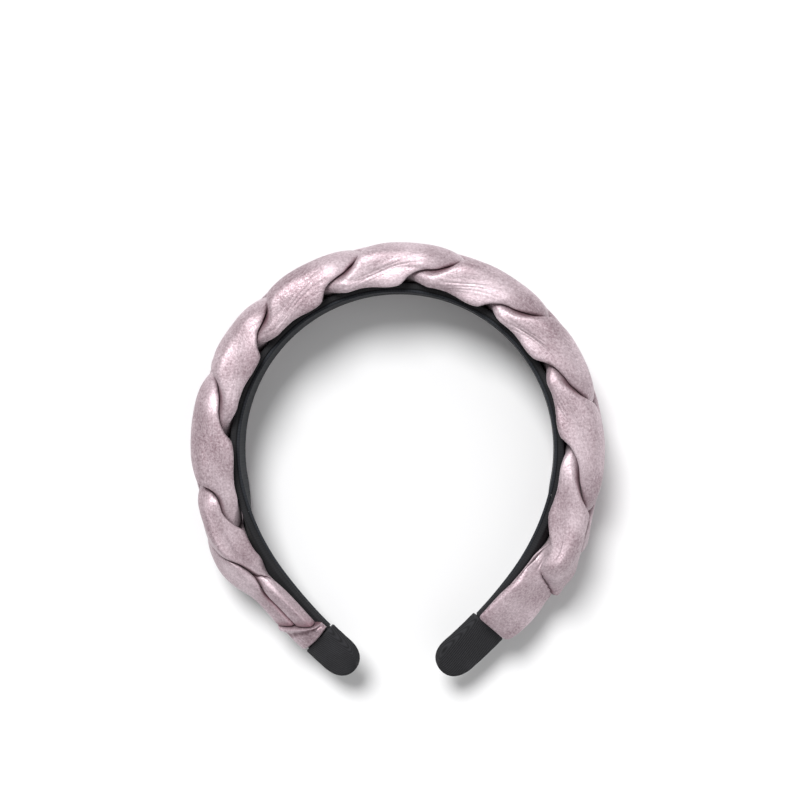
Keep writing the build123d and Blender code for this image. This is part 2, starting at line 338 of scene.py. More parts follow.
class Bench:
    """Makes one material and its nodes."""

    def __init__(self, name: str) -> None:
        """Starts a material with only its output and its Principled shader.

        Args:
            name: The material's name.
        """
        self.material = bpy.data.materials.new(name)
        self.material.use_nodes = True
        self.tree = self.material.node_tree
        self.tree.nodes.clear()
        output = self.tree.nodes.new("ShaderNodeOutputMaterial")
        self.shader = self.tree.nodes.new("ShaderNodeBsdfPrincipled")
        self.tree.links.new(self.shader.outputs[0], output.inputs["Surface"])

    def plug(self, socket: bpy.types.NodeSocket, value: object) -> None:
        """Links a shade to a socket, or sets the socket's own value.

        Args:
            socket: The socket of a node.
            value: A shade, a number, a colour or a vector.
        """
        if isinstance(value, Shade):
            self.tree.links.new(value.socket, socket)
        else:
            socket.default_value = value

    def node(
        self,
        kind: str,
        settings: dict[str, object] | None = None,
        inputs: dict[object, object] | None = None,
        output: object = 0,
    ) -> Shade:
        """Makes any node.

        Args:
            kind: The node's type.
            settings: Its own settings, which are set first.
            inputs: Values or shades for its sockets, by name or number.
            output: The name or number of the socket that is wanted.

        Returns:
            The wanted output.
        """
        made = self.tree.nodes.new(kind)
        for name, value in (settings or {}).items():
            setattr(made, name, value)
        for name, value in (inputs or {}).items():
            self.plug(made.inputs[name], value)
        return Shade(self, made.outputs[output])

    def set(self, **values: object) -> None:
        """Sets the Principled shader's sockets, with underscores for spaces in their names."""
        for name, value in values.items():
            self.plug(self.shader.inputs[name.replace("_", " ")], value)

    def place(self) -> Shade:
        """Object coordinates, in metres."""
        return self.node("ShaderNodeTexCoord", output="Object")

    def cloth(self) -> tuple[Shade, Shade]:
        """The piece's own UV map.

        Returns:
            The way round the section and the way along the piece, both in metres.
        """
        uv = self.node("ShaderNodeUVMap", {"uv_map": "cloth"})
        around = self.node("ShaderNodeSeparateXYZ", None, {0: uv})
        return around, Shade(self, around.socket.node.outputs["Y"])

    def painted_shade(self) -> Shade:
        """How much painted shade the piece gets in its creases, from its own crease attribute."""
        return self.node("ShaderNodeAttribute", {"attribute_name": "crease"}, None, "Fac")

    def noise(self, vector: Shade, scale: float, detail: float = 2.0, rough: float = 0.5) -> Shade:
        """Noise from 0 to 1.

        Args:
            vector: Where it is read.
            scale: Its scale in cycles for each unit of the vector.
            detail: How many finer layers it has.
            rough: How strong each finer layer is, as a share of the last.

        Returns:
            The noise.
        """
        return self.node(
            "ShaderNodeTexNoise",
            None,
            {"Vector": vector, "Scale": scale, "Detail": detail, "Roughness": rough},
        )

    def flat_vector(self, x: object, y: object) -> Shade:
        """Two values as one vector with no height."""
        return self.node("ShaderNodeCombineXYZ", None, {0: x, 1: y})

    def mix(self, share: object, first: object, second: object) -> Shade:
        """A colour between two colours.

        Args:
            share: The share of the second colour.
            first: A shade or a colour of three values.
            second: A shade or a colour of three values.

        Returns:
            The mixed colour.
        """
        colours = [end if isinstance(end, Shade) else (*end, 1.0) for end in (first, second)]
        inputs = dict(zip((MixSocket.FIRST, MixSocket.SECOND), colours))
        inputs[MixSocket.SHARE] = share
        return self.node("ShaderNodeMix", {"data_type": "RGBA"}, inputs, MixSocket.RESULT)

    def bump(self, height: Shade, strength: float, distance: float) -> Shade:
        """A bumped normal, with the distance in metres."""
        return self.node(
            "ShaderNodeBump", None, {"Height": height, "Strength": strength, "Distance": distance}
        )


@dataclass(frozen=True)
class Satin:
    """Dusty pink satin: a soft broad gloss, a fine sparkling grain and painted shade in its
    creases.

    Scales are in cycles a metre, and the bump's distance is in metres.
    """

    light: tuple[float, float, float] = (0.80, 0.675, 0.725)
    deep: tuple[float, float, float] = (0.24, 0.155, 0.18)
    # Colour of the painted shade in creases, at the plait's left end and on the end fold.
    crease: tuple[float, float, float] = (0.17, 0.062, 0.085)
    sheen: tuple[float, float, float, float] = (1.0, 0.94, 0.97, 1.0)
    roughness: float = 0.43
    thread_roughness: float = 0.12
    sparkle_gloss: float = 0.15
    metallic: float = 0.42
    cloud_scale: float = 48.0
    threads_around: float = 2400.0
    threads_along: float = 800.0
    grain_scale: float = 1250.0
    sparkle_scale: float = 1500.0
    cloud_share: float = 0.20
    thread_share: float = 0.34
    grain_share: float = 0.46
    darkest: float = 0.28
    contrast: float = 2.1
    relief: float = 0.00028

    def material(self) -> bpy.types.Material:
        """Builds the finish.

        The colour goes from deep to light by the weighted sum of a cloudy noise, the threads and
        the grain, and towards the crease colour, a painted shade, by the piece's own crease
        attribute.

        Returns:
            The material.
        """
        bench = Bench("satin")
        place = bench.place()
        around, along = bench.cloth()
        cloud = bench.noise(place, self.cloud_scale, 3.0).clear(0.3, 0.7)
        weave = bench.flat_vector(around * self.threads_around, along * self.threads_along)
        threads = bench.noise(weave, 1.0, 2.0, 0.6)
        grain = bench.noise(place, self.grain_scale, 2.0, 0.6)
        share = cloud * self.cloud_share + threads * self.thread_share + grain * self.grain_share
        plain = bench.mix((share - self.darkest) * self.contrast, self.deep, self.light)
        sparkle = bench.noise(place, self.sparkle_scale, 1.0).clear(0.52, 0.72)
        rough = self.roughness + threads * self.thread_roughness - sparkle * self.sparkle_gloss
        # Painted shade: the base colour goes towards the crease colour as far as the crease
        # attribute says.
        bench.set(
            Base_Color=bench.mix(bench.painted_shade(), plain, self.crease),
            Metallic=self.metallic,
            Roughness=rough,
            Sheen_Weight=0.12,
            Sheen_Roughness=0.4,
            Sheen_Tint=self.sheen,
            Specular_IOR_Level=0.5,
            Normal=bench.bump(grain * 0.6 + threads * 0.4, 0.5, self.relief),
        )
        return bench.material


@dataclass(frozen=True)
class BlackCloth:
    """Black woven cloth of the band's cover, or the slate ribbon that lines it.

    The pitch of its ribs and the bump's distance are in metres, and scales in cycles a metre.
    """

    name: str
    colour: tuple[float, float, float]
    worn: tuple[float, float, float]
    rib_pitch: float
    # Colour of the painted shade in the troughs of a sleeve's ribs.
    crease: tuple[float, float, float] = (0.002, 0.002, 0.0025)
    cross_pitch: float = 0.8
    roughness: float = 0.78
    fuzz_roughness: float = 0.15
    fuzz_scale: float = 1800.0
    wear_scale: float = 90.0
    relief: float = 0.00012

    def material(self) -> bpy.types.Material:
        """Builds the finish: fine ribs across the strip, with fuzz and slight wear.

        The colour goes to the worn one by the weighted sum of sines along the strip and round it,
        a fine noise and a patchy one, and towards the crease colour, a painted shade, by the
        crease attribute, which only the sleeves have, in the troughs of their ribs.

        Returns:
            The material.
        """
        bench = Bench(self.name)
        place = bench.place()
        around, along = bench.cloth()
        ribs = (along * (2 * math.pi / self.rib_pitch)).sine() * 0.5 + 0.5
        cross = (around * (2 * math.pi / (self.rib_pitch * self.cross_pitch))).sine() * 0.5 + 0.5
        fuzz = bench.noise(place, self.fuzz_scale, 3.0, 0.6)
        wear = bench.noise(place, self.wear_scale, 3.0).clear(0.45, 0.8)
        share = ribs * 0.30 + cross * 0.15 + fuzz * 0.35 + wear * 0.2
        plain = bench.mix(share, self.colour, self.worn)
        # Painted shade: the base colour goes towards the crease colour as far as the crease
        # attribute says.
        bench.set(
            Base_Color=bench.mix(bench.painted_shade(), plain, self.crease),
            Roughness=self.roughness + fuzz * self.fuzz_roughness,
            Sheen_Weight=0.03,
            Sheen_Roughness=0.5,
            Specular_IOR_Level=0.3,
            Normal=bench.bump(ribs * 0.6 + cross * 0.2 + fuzz * 0.35, 0.5, self.relief),
        )
        return bench.material


@dataclass(frozen=True)
class Floor:
    """The pale floor and its plain paint."""

    colour: tuple[float, float, float] = (0.86, 0.86, 0.865)
    roughness: float = 0.9
    size: float = 30.0

    def build(self) -> None:
        """Lays a flat square at height 0."""
        bench = Bench("floor_paint")
        bench.set(Base_Color=(*self.colour, 1.0), Roughness=self.roughness, Specular_IOR_Level=0.2)
        half = self.size / 2
        mesh = bpy.data.meshes.new("floor")
        corners = [(-half, -half, 0), (half, -half, 0), (half, half, 0), (-half, half, 0)]
        mesh.from_pydata(corners, [], [(0, 1, 2, 3)])
        mesh.materials.append(bench.material)
        floor = bpy.data.objects.new("floor", mesh)
        bpy.context.scene.collection.objects.link(floor)


def dress(piece: bpy.types.Object, material: bpy.types.Material, slot: str, *nodes: str) -> None:
    """Gives a piece its finish, lets it ride with the headband and stand for its CAD nodes.

    Args:
        piece: The piece.
        material: Its finish.
        slot: The record's material slot, which is not used.
        nodes: The CAD nodes that it replaces.
    """
    piece.data.materials.append(material)
    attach(piece, "root")
    if nodes:
        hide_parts(*nodes)
    log.info("%s: %d faces", piece.name, len(piece.data.polygons))


@dataclass(frozen=True)
class Spot:
    """How a strand lies at an end of the plait, as shares of the end's half width and thickness.

    It starts to settle there, and is done, at shares of the end's taper before the end.
    """

    across: float
    height: float
    half_width: float
    half_thickness: float
    starts: float
    done: float


@dataclass(frozen=True)
class PlaitEnd:
    """One end of the plait: its place, reach to each edge, thickness, taper and strands.

    The far edge is drawn in by the pinch where it reaches the hem, and the end leans along the
    band by the slant times the distance across.
    """

    place: float
    near: float
    far: float
    thickness: float
    taper: float
    pinch: float
    slant: float
    spots: tuple[Spot, Spot, Spot]


LEFT_END = PlaitEnd(
    place=-166.1,
    near=7.6,
    far=7.8,
    thickness=6.4,
    taper=26.0,
    pinch=0.0,
    slant=0.72,
    spots=(
        Spot(0.52, 0.52, 0.68, 0.50, 1.25, 0.3),
        Spot(-0.36, 0.50, 0.72, 0.48, 1.1, 0.3),
        Spot(0.0, 0.14, 0.65, 0.16, 1.25, 0.55),
    ),
)
RIGHT_END = PlaitEnd(
    place=168.9,
    near=11.6,
    far=11.8,
    thickness=7.0,
    taper=32.0,
    pinch=3.0,
    slant=0.0,
    spots=(
        Spot(-0.34, 0.14, 0.43, 0.16, 1.0, 0.45),
        Spot(0.30, 0.13, 0.40, 0.15, 1.8, 0.95),
        Spot(0.11, 0.61, 1.29, 0.51, 1.45, 0.60),
    ),
)


@dataclass(frozen=True)
class Drift:
    """How the plaiting by hand drifts at a place: how late a crossing lies, and how far it leans.

    The lean is how far the plait's outer side leads its inner side along the band.
    """

    place: float
    late: float
    lean: float


DRIFTS = (
    Drift(-150.0, -7.0, 5.0),
    Drift(-141.0, -6.0, 5.0),
    Drift(-127.0, 7.0, 3.5),
    Drift(-106.0, 4.5, 2.5),
    Drift(-80.0, 8.3, 5.5),
    Drift(-52.0, 9.4, -1.5),
    Drift(0.0, 8.0, 3.0),
    Drift(38.0, 6.6, 6.6),
    Drift(70.0, 4.4, 6.6),
    Drift(98.0, 4.5, 5.4),
    Drift(122.0, 11.0, 4.0),
    Drift(146.0, 4.0, 3.0),
)


@dataclass(frozen=True)
class Softness:
    """How deep the satin sinks in, in millimetres, and how its puckers, folds and dents run.

    A length is the way along the plait for one radian of a wave, a step is by how many radians
    the waves of one strand lead those of the last, a turn is in radians for each millimetre
    along, and a count is of waves round a section.
    """

    pucker: float = 0.2
    pucker_count: int = 13
    pucker_sway: float = 1.5
    pucker_length: float = 7.3
    pucker_step: float = 2.1
    pucker_turn: float = 0.06
    fold: float = 0.3
    fold_count: int = 5
    fold_power: int = 14
    fold_sway: float = 2.2
    fold_length: float = 11.0
    fold_step: float = 1.3
    fold_turn: float = 0.11
    fold_least: float = 0.1
    fold_fade_length: float = 17.0
    fold_fade_step: float = 2.4
    dent: float = 0.5
    dent_count: int = 2
    dent_length: float = 9.0
    dent_short_length: float = 4.9
    dent_step: float = 2.0
    dent_sway: float = 1.7
    held_middle: float = 0.35
    held_over: float = 0.33


@dataclass(frozen=True)
class CreaseShade:
    """How dark the painted shade on the satin is where a neighbour holds it back, and at the left
    end of the plait, under the fold.

    The broad shade is full where the held share times the gain is 1, the sharp one goes from its
    own start to a held share of 1, and the end's one is a bell in millimetres about the left end.
    """

    broad: float = 0.55
    broad_gain: float = 1.4
    sharp: float = 0.4
    sharp_from: float = 0.6
    ends: float = 0.8
    ends_over: float = 2.5


@dataclass
class Plait:
    """Three padded strands that swing across the band and climb over each other.

    A strand's swing is counted in degrees of phase, and each strand is a third of a turn ahead of
    the one before. Sizes are in millimetres.
    """

    line: BandLine
    left: PlaitEnd = LEFT_END
    right: PlaitEnd = RIGHT_END
    names: tuple[str, str, str] = ("plait_strand_a", "plait_strand_b", "plait_strand_c")
    soft: Softness = Softness()
    shade: CreaseShade = CreaseShade()
    strand_step: float = 120.0
    pitch: float = 31.1
    offset: float = 4.4
    width: float = 37.0
    thickness: float = 15.6
    narrows_from: float = 95.0
    near_narrows_over: float = 55.0
    thins_from: float = 126.0
    seat_gap: float = 0.3
    strand_gap: float = 0.28
    strand_width: float = 27.0
    strand_thickness: float = 13.6
    weave_across: float = 12.4
    weave_climb: float = 4.3
    climb_rounding: float = 0.6
    narrowest_strand: float = 0.3
    thinnest_strand: float = 0.2
    least_reach: float = 0.3
    edge_droop: float = 4.0
    droop_inset: float = 0.5
    droop_power: float = 1.4
    edge_phase: float = 40.0
    drift_blur: float = 7.0
    lean_over: float = 30.0
    lean_reach: float = 1.2
    lean_easing: float = 0.3
    settled_over: float = 7.0
    pinch_over: float = 8.0
    tuck: float = 0.1
    hem_radius: float = 1.1
    hem_rows: int = 8
    flattening: float = 2.1
    roundness: float = 7.0
    end_roundness: float = 4.0
    spacing: float = 0.8
    corners: int = 112
    girth: float = 0.055

    def _at_end(self, along: Array, name: str) -> Array:
        """A value of the end on the same arm as each place."""
        return np.where(along > 0, getattr(self.right, name), getattr(self.left, name))

    def drift(self, along: Array, name: str) -> Array:
        """A column of the drift table between its places, as the mean over a short stretch.

        Args:
            along: Places.
            name: The column.

        Returns:
            Its value at each place.
        """
        places, values = [row.place for row in DRIFTS], [getattr(row, name) for row in DRIFTS]
        steps = np.linspace(-self.drift_blur, self.drift_blur, 9)
        return np.mean([np.interp(along + step, places, values) for step in steps], axis=0)

    def free(self, along: Array) -> Array:
        """How free the plait is of its ends: 1 along most of it, and 0 at either end."""
        left = ease((along - self.left.place) / self.lean_over)
        return left * ease((self.right.place - along) / self.lean_over)

    def limits(self, along: Array) -> tuple[Array, Array, Array]:
        """The room that the plait takes up in each section.

        It goes by smooth steps from its full size to each end's own, and the pinch falls off
        from an end as a quarter circle.

        Args:
            along: Places.

        Returns:
            The plait's reach to its +Z edge and to its other edge, and its thickness.
        """
        end = np.abs(self._at_end(along, "place"))
        narrowing = ease((np.abs(along) - self.narrows_from) / (end - self.narrows_from))
        nearing = ease((np.abs(along) - self.narrows_from) / self.near_narrows_over)
        thinning = ease((np.abs(along) - self.thins_from) / (end - self.thins_from))
        corner = np.clip(1 - (end - np.abs(along)) / self.pinch_over, 0.0, 1.0)
        pinch = self._at_end(along, "pinch") * (1 - np.sqrt(1 - corner**2))
        return (
            between(self.width / 2, self._at_end(along, "near"), nearing),
            between(self.width / 2, self._at_end(along, "far"), narrowing) - pinch,
            between(self.thickness, self._at_end(along, "thickness"), thinning)
            * (1 - self.tuck * pinch),
        )

    def ahead(self, along: Array, out: Array, across: Array) -> Array:
        """How far each point lies ahead of its section.

        The plait's outer side leads its inner side, by a mean of an even slope and a smooth step
        over the thickness, so that creases run straight. The lead drifts, as in work done by
        hand, and has gone at the ends. A slanted end leans with the distance across.

        Args:
            along: Places, one for each section.
            out: Distances out, a row for each section.
            across: Distances across, a row for each section.

        Returns:
            The lead of each point.
        """
        free = self.free(along)
        slant = self._at_end(along, "slant") * (1 - free)
        high = np.clip(out / self.thickness, 0.0, self.lean_reach)
        lead = (self.drift(along, "lean") * free)[:, None]
        return lead * between(high, ease(high), self.lean_easing) - slant[:, None] * across

    def softened(self, along: Array, angles: Array, index: int, held: Array) -> Array:
        """How far the satin sinks in: puckers and sharp folds beside creases, and soft dents.

        Puckers are a squared wave round the section, which wanders along the strand, times a bell
        about the middle of the held share. Folds are a wave to a high power, which fades towards
        the free side. Dents are a product of two slow waves.

        Args:
            along: Places, one for each section.
            angles: Angles round a section.
            index: The strand's number.
            held: The share in which a neighbour holds each point back.

        Returns:
            Depths in millimetres.
        """
        soft, place, around = self.soft, along[:, None], angles[None]
        sway = soft.pucker_sway * np.sin(place / soft.pucker_length + soft.pucker_step * index)
        turned = soft.pucker_count * around + sway + soft.pucker_turn * place
        pucker = soft.pucker * (0.5 + 0.5 * np.cos(turned)) ** 2
        sway = soft.fold_sway * np.sin(place / soft.fold_length + soft.fold_step * index)
        turned = soft.fold_count * around + sway + soft.fold_turn * place
        fade = np.sin(place / soft.fold_fade_length + soft.fold_fade_step * index)
        fold = soft.fold * between(soft.fold_least, 1.0, 0.5 + 0.5 * fade)
        fold = fold * (0.5 + 0.5 * np.cos(turned)) ** soft.fold_power
        sway = soft.dent_sway * np.sin(around)
        slow = 0.5 + 0.5 * np.sin(place / soft.dent_short_length + soft.dent_step * index + sway)
        broad = 0.5 + 0.5 * np.cos(soft.dent_count * around + place / soft.dent_length + index)
        beside = bump(held, soft.held_middle, soft.held_over)
        return (pucker + fold) * beside + soft.dent * slow * broad

    def phase(self, index: int, along: Array) -> Array:
        """Phase of a strand's swing across the plait, in degrees, with its drift."""
        crossings = (along - self.offset - self.drift(along, "late")) / self.pitch
        return self.edge_phase + self.strand_step * (crossings + index)

    def climb(self, phase: Array) -> Array:
        """Height of a strand from -1 to 1: a slow rise round each edge and a quick drop.

        The rise and the drop are straight lines over the phase, rounded by a share of a sine.

        Args:
            phase: The strand's phase in degrees.

        Returns:
            The heights.
        """
        angle = np.mod(phase, 180.0)
        rise = (angle - 90.0) / (90.0 - self.edge_phase)
        drop = np.where(angle > 90.0, 180.0 - angle, -angle) / self.edge_phase
        steady = (angle >= self.edge_phase) & (angle <= 180.0 - self.edge_phase)
        line = np.where(steady, rise, drop)
        return between(line, np.sin(line * math.pi / 2), self.climb_rounding)

    def strand(self, index: int, along: Array) -> tuple[Array, ...]:
        """Middle of a strand's section, its tilt in radians and its half sizes.

        The middle swings as a sine of the phase and climbs with it, and near an end of the plait
        it eases into that end's spot.

        Args:
            index: The strand's number.
            along: Places.

        Returns:
            Across, height, tilt, half width and half thickness, each an array.
        """
        phase = self.phase(index, along)
        near, far, thickness = self.limits(along)
        wide, thick = (near + far) / self.width, thickness / self.thickness
        swing = np.radians(phase)
        free = (
            self.weave_across * wide * np.sin(swing),
            (self.thickness / 2 + self.weave_climb * self.climb(phase)) * thick,
            math.pi / 2 * (1 - np.cos(swing)),
            self.strand_width / 2 * between(self.narrowest_strand, 1.0, wide),
            self.strand_thickness / 2 * between(self.thinnest_strand, 1.0, thick),
        )
        settled = [self._settled(index, end) for end in (self.left, self.right)]
        *still, starts, done = (np.where(along > 0, right, left) for left, right in zip(*settled))
        before = np.abs(along - self._at_end(along, "place")) / self._at_end(along, "taper")
        share = ease((starts - before) / (starts - done))
        return tuple(between(loose, fixed, share) for loose, fixed in zip(free, still))

    def _settled(self, index: int, end: PlaitEnd) -> tuple[float, ...]:
        """How a strand lies at an end of the plait.

        Its tilt is the whole number of half turns nearest to its swing just inside the end.

        Args:
            index: The strand's number.
            end: The end.

        Returns:
            Across, height, tilt, half width and half thickness, and the shares of the taper
            before the end where it starts to settle and is done.
        """
        spot, half = end.spots[index], (end.near + end.far) / 2
        inside = end.place - math.copysign(self.settled_over, end.place)
        turned = (1 - math.cos(math.radians(float(self.phase(index, inside))))) / 2
        return (
            spot.across * half,
            spot.height * end.thickness,
            math.pi * round(turned),
            spot.half_width * half,
            spot.half_thickness * end.thickness,
            spot.starts,
            spot.done,
        )

    def section(self, index: int, along: Array, angles: Array) -> tuple[Array, Array, Array]:
        """A strand's sections, kept to its own side of its neighbours.

        In a section stretched by the flattening, a point's distance from the strand's middle is
        limited by the strand's own oval, by the plait's limits and by the line halfway to each
        neighbour. The limits are rounded into one: their powers are added up and the root taken.

        Args:
            index: The strand's number.
            along: Places, one for each section.
            angles: Angles round a section, from across towards out.

        Returns:
            Distances out and across, and the share in which a neighbour holds the point back.
        """
        middle_across, middle_height, tilt, half_width, half_thickness = (
            value[:, None] for value in self.strand(index, along)
        )
        near, far, thickness = (value[:, None] for value in self.limits(along))
        aside, above = np.cos(angles)[None], np.sin(angles)[None]
        tall = above / self.flattening
        wide = (aside * np.cos(tilt) + tall * np.sin(tilt)) / half_width
        thick = (tall * np.cos(tilt) - aside * np.sin(tilt)) / half_thickness
        power = between(self.end_roundness, self.roundness, self.free(along))[:, None]
        own = np.hypot(wide, thick) ** power
        own = own + (np.maximum(0, aside) / (near - middle_across)) ** power
        own = own + (np.maximum(0, -aside) / (far + middle_across)) ** power
        top = self.flattening * (thickness - middle_height)
        own = own + (np.maximum(0, above) / top) ** power
        seat = self.flattening * (middle_height - self.seat_gap)
        own = own + (np.maximum(0, -above) / seat) ** power
        held = np.zeros_like(own)
        others = [number for number in range(len(self.names)) if number != index]
        for other in others:
            across, height = (value[:, None] for value in self.strand(other, along)[:2])
            step_across = across - middle_across
            step_height = self.flattening * (height - middle_height)
            distance = np.hypot(step_across, step_height)
            lean = np.maximum(0, aside * step_across + above * step_height) / distance
            held = held + (lean / ((distance - self.strand_gap) / 2)) ** power
        reach = (own + held) ** (-1 / power)
        share = held / (own + held)
        before = np.minimum(along - self.left.place, self.right.place - along)[:, None]
        turned = np.clip(1 - before / self.hem_radius, 0.0, 1.0)
        hem = self.hem_radius * (1 - np.sqrt(1 - turned**2))
        sunk = hem + self.softened(along, angles, index, share)
        reach = np.maximum(reach - sunk, self.least_reach * reach)
        across = middle_across + reach * aside
        height = middle_height + reach * tall
        edge = self.line.half_width(along)[:, None] - self.droop_inset
        over = np.maximum(0.0, (np.abs(across) - edge) / (self.width / 2 - edge))
        out = self.line.thickness / 2 + height - self.edge_droop * over**self.droop_power
        return out, across, share

    def build(self, material: bpy.types.Material) -> None:
        """Makes the three strands.

        Rows lie at even steps, and closer where the rim at each end rounds off.

        Args:
            material: Their finish.
        """
        angles = np.linspace(0, 2 * math.pi, self.corners, endpoint=False)
        hem = self.hem_radius * (1 - np.cos(np.linspace(0, math.pi / 2, self.hem_rows)[:-1]))
        first, last = self.left.place + self.hem_radius, self.right.place - self.hem_radius
        rows = np.linspace(first, last, int((last - first) / self.spacing) + 1)
        along = np.concatenate([self.left.place + hem, rows, (self.right.place - hem)[::-1]])
        shade = self.shade
        # Painted shade in a bell at the plait's left end, under the fold.
        ends = shade.ends * bump(along, self.left.place, shade.ends_over)
        for index, name in enumerate(self.names):
            out, across, held = self.section(index, along, angles)
            ahead = self.ahead(along, out, across)
            points = self.line.press(self.line.place(along, out, across, ahead))
            piece = Mesh(points[None], self.girth, along).build(name + "_satin")
            # Painted shade where a neighbour holds the satin back, in the creases between strands.
            sharp = ease((held - shade.sharp_from) / (1 - shade.sharp_from))
            depth = shade.broad * ease(held * shade.broad_gain) + shade.sharp * sharp
            shade_creases(piece, np.maximum(depth, ends[:, None]))
            dress(piece, material, "satin", name)


@dataclass
class Strip:
    """A strip that follows the band: its cover or its lining."""

    line: BandLine
    start: float
    end: float
    thickness: float
    shift: float = 0.0
    corner: float = 0.8
    inset: float = 0.0
    spacing: float = 1.0
    corners: int = 96
    girth: float = 0.05

    def half_width(self, along: Array) -> Array:
        """Half the strip's width, which falls to a half circle's past a tip's centre.

        Args:
            along: Places.

        Returns:
            The half widths.
        """
        half = self.line.half_width(along) - self.inset
        radius = self.line.tip_width / 2
        over = np.clip((np.abs(along) - (self.line.half_length - radius)) / radius, 0.0, 1.0)
        return half * np.sqrt(1 - over**2)

    def build(self, name: str) -> bpy.types.Object:
        """Makes the strip as a closed skin: a rounded section carried along the band.

        Args:
            name: The piece's name.

        Returns:
            The piece.
        """
        count = int((self.end - self.start) / self.spacing) + 1
        along = np.linspace(self.start, self.end, count)
        wide, deep = rounded_section(
            self.line.width / 2 - self.inset, self.thickness / 2, self.corner, self.corners
        )
        across = self.half_width(along)[:, None] * wide[None]
        out = np.broadcast_to(self.shift + self.thickness / 2 * deep[None], across.shape)
        points = self.line.place(along, out, across)
        return Mesh(points[None], self.girth, along).build(name)


@dataclass
class Sleeve:
    """A ribbed ribbon sleeve over a tip: its wall inside, its rim and its ribbed outside.

    The ribs fade towards the section's corners by the powers for its flat and narrow sides.
    """

    line: BandLine
    side: Side
    length: float
    clearance: float = 0.3
    wall: float = 1.0
    corner: float = 1.6
    rib_pitch: float = 0.95
    rib_depth: float = 0.3
    rib_slant: float = 14.0
    rib_power: float = 0.8
    rib_starts_over: float = 0.6
    rib_shade: float = 0.9
    flat_side_power: int = 5
    narrow_side_power: int = 9
    nose_power: int = 6
    spacing: float = 0.42
    inside_rows: int = 12
    rim_rows: int = 9
    nose_rows: int = 34
    corners: int = 400
    girth: float = 0.045

    @property
    def mouth(self) -> float:
        """Place of the mouth, counted without a sign."""
        return self.line.half_length + self.clearance + self.wall - self.length

    def rows(self) -> tuple[Array, Array, Array]:
        """Place, growth over the band and share of rib for each row, from deep inside.

        The rim is a half circle as wide as the wall. Round the nose the places go with the sine
        of even angles.

        Returns:
            Places without a sign, growths in millimetres and shares of a rib's depth.
        """
        half, outer = self.wall / 2, self.clearance + self.wall
        nose = self.line.half_length - self.line.tip_width / 2
        inside = np.linspace(nose, self.mouth + half, self.inside_rows)
        turns = np.linspace(0, math.pi, self.rim_rows)[1:-1]
        rim = self.mouth + half * (1 - np.sin(turns))
        outside = np.linspace(self.mouth + half, nose, int((nose - self.mouth) / self.spacing) + 1)
        quarter = np.linspace(0, math.pi / 2, self.nose_rows)[1:]
        round_nose = nose + (self.line.tip_width / 2 + outer) * np.sin(quarter)
        place = np.concatenate([inside, rim, outside, round_nose])
        grow = np.concatenate(
            [
                np.full(len(inside), self.clearance),
                self.clearance + half * (1 - np.cos(turns)),
                np.full(len(outside) + len(round_nose), outer),
            ]
        )
        rib = ease((place - self.mouth - half) / self.rib_starts_over) * (grow == outer)
        return place, grow, rib

    def build(self, name: str) -> bpy.types.Object:
        """Makes the sleeve as one closed skin.

        Ribs are a rounded wave of the distance across and out, which leans with the way along, so
        they run on round the edges. The nose is a half circle and closes in thickness as the
        square root of one less a high power of the way round it.

        Args:
            name: The piece's name.

        Returns:
            The piece.
        """
        place, grow, rib = self.rows()
        along = place * self.side.value
        if self.side is Side.LEFT:
            along, grow, rib = along[::-1], grow[::-1], rib[::-1]
        radius = self.line.tip_width / 2 + grow
        nose = self.line.half_length - self.line.tip_width / 2
        over = np.clip((np.abs(along) - nose) / radius, 0.0, 1.0)
        half = (self.line.half_width(along) + grow) * np.sqrt(1 - over**2)
        depth = (self.line.thickness / 2 + grow) * np.sqrt(1 - over**self.nose_power)
        outer = self.clearance + self.wall
        half_sizes = self.line.tip_width / 2 + outer, self.line.thickness / 2 + outer
        wide, deep = rounded_section(*half_sizes, self.corner, self.corners)
        across, out = half[:, None] * wide[None], depth[:, None] * deep[None]
        slant = math.radians(self.rib_slant)
        way = (across + out) * math.cos(slant) + along[:, None] * math.sin(slant)
        wave = np.abs(np.sin(way * math.pi / self.rib_pitch)) ** self.rib_power - 1.0
        sunk = self.rib_depth * rib[:, None] * wave
        out = out + sunk * np.sign(deep) * np.abs(deep) ** self.flat_side_power
        across = across + sunk * np.sign(wide) * np.abs(wide) ** self.narrow_side_power
        points = self.line.place(along, out, across)
        piece = Mesh(points[None], self.girth, along).build(name)
        # Painted shade in the troughs between the ribs.
        shade_creases(piece, -self.rib_shade * rib[:, None] * wave)
        return piece


@dataclass(frozen=True)
class Bell:
    """A bell-shaped rise or shade: its height, and its middle and width as shares of the way."""

    height: float
    middle: float
    width: float

    def at(self, share: Array) -> Array:
        """The height of the bell at each share of the way."""
        return self.height * bump(share, self.middle, self.width)


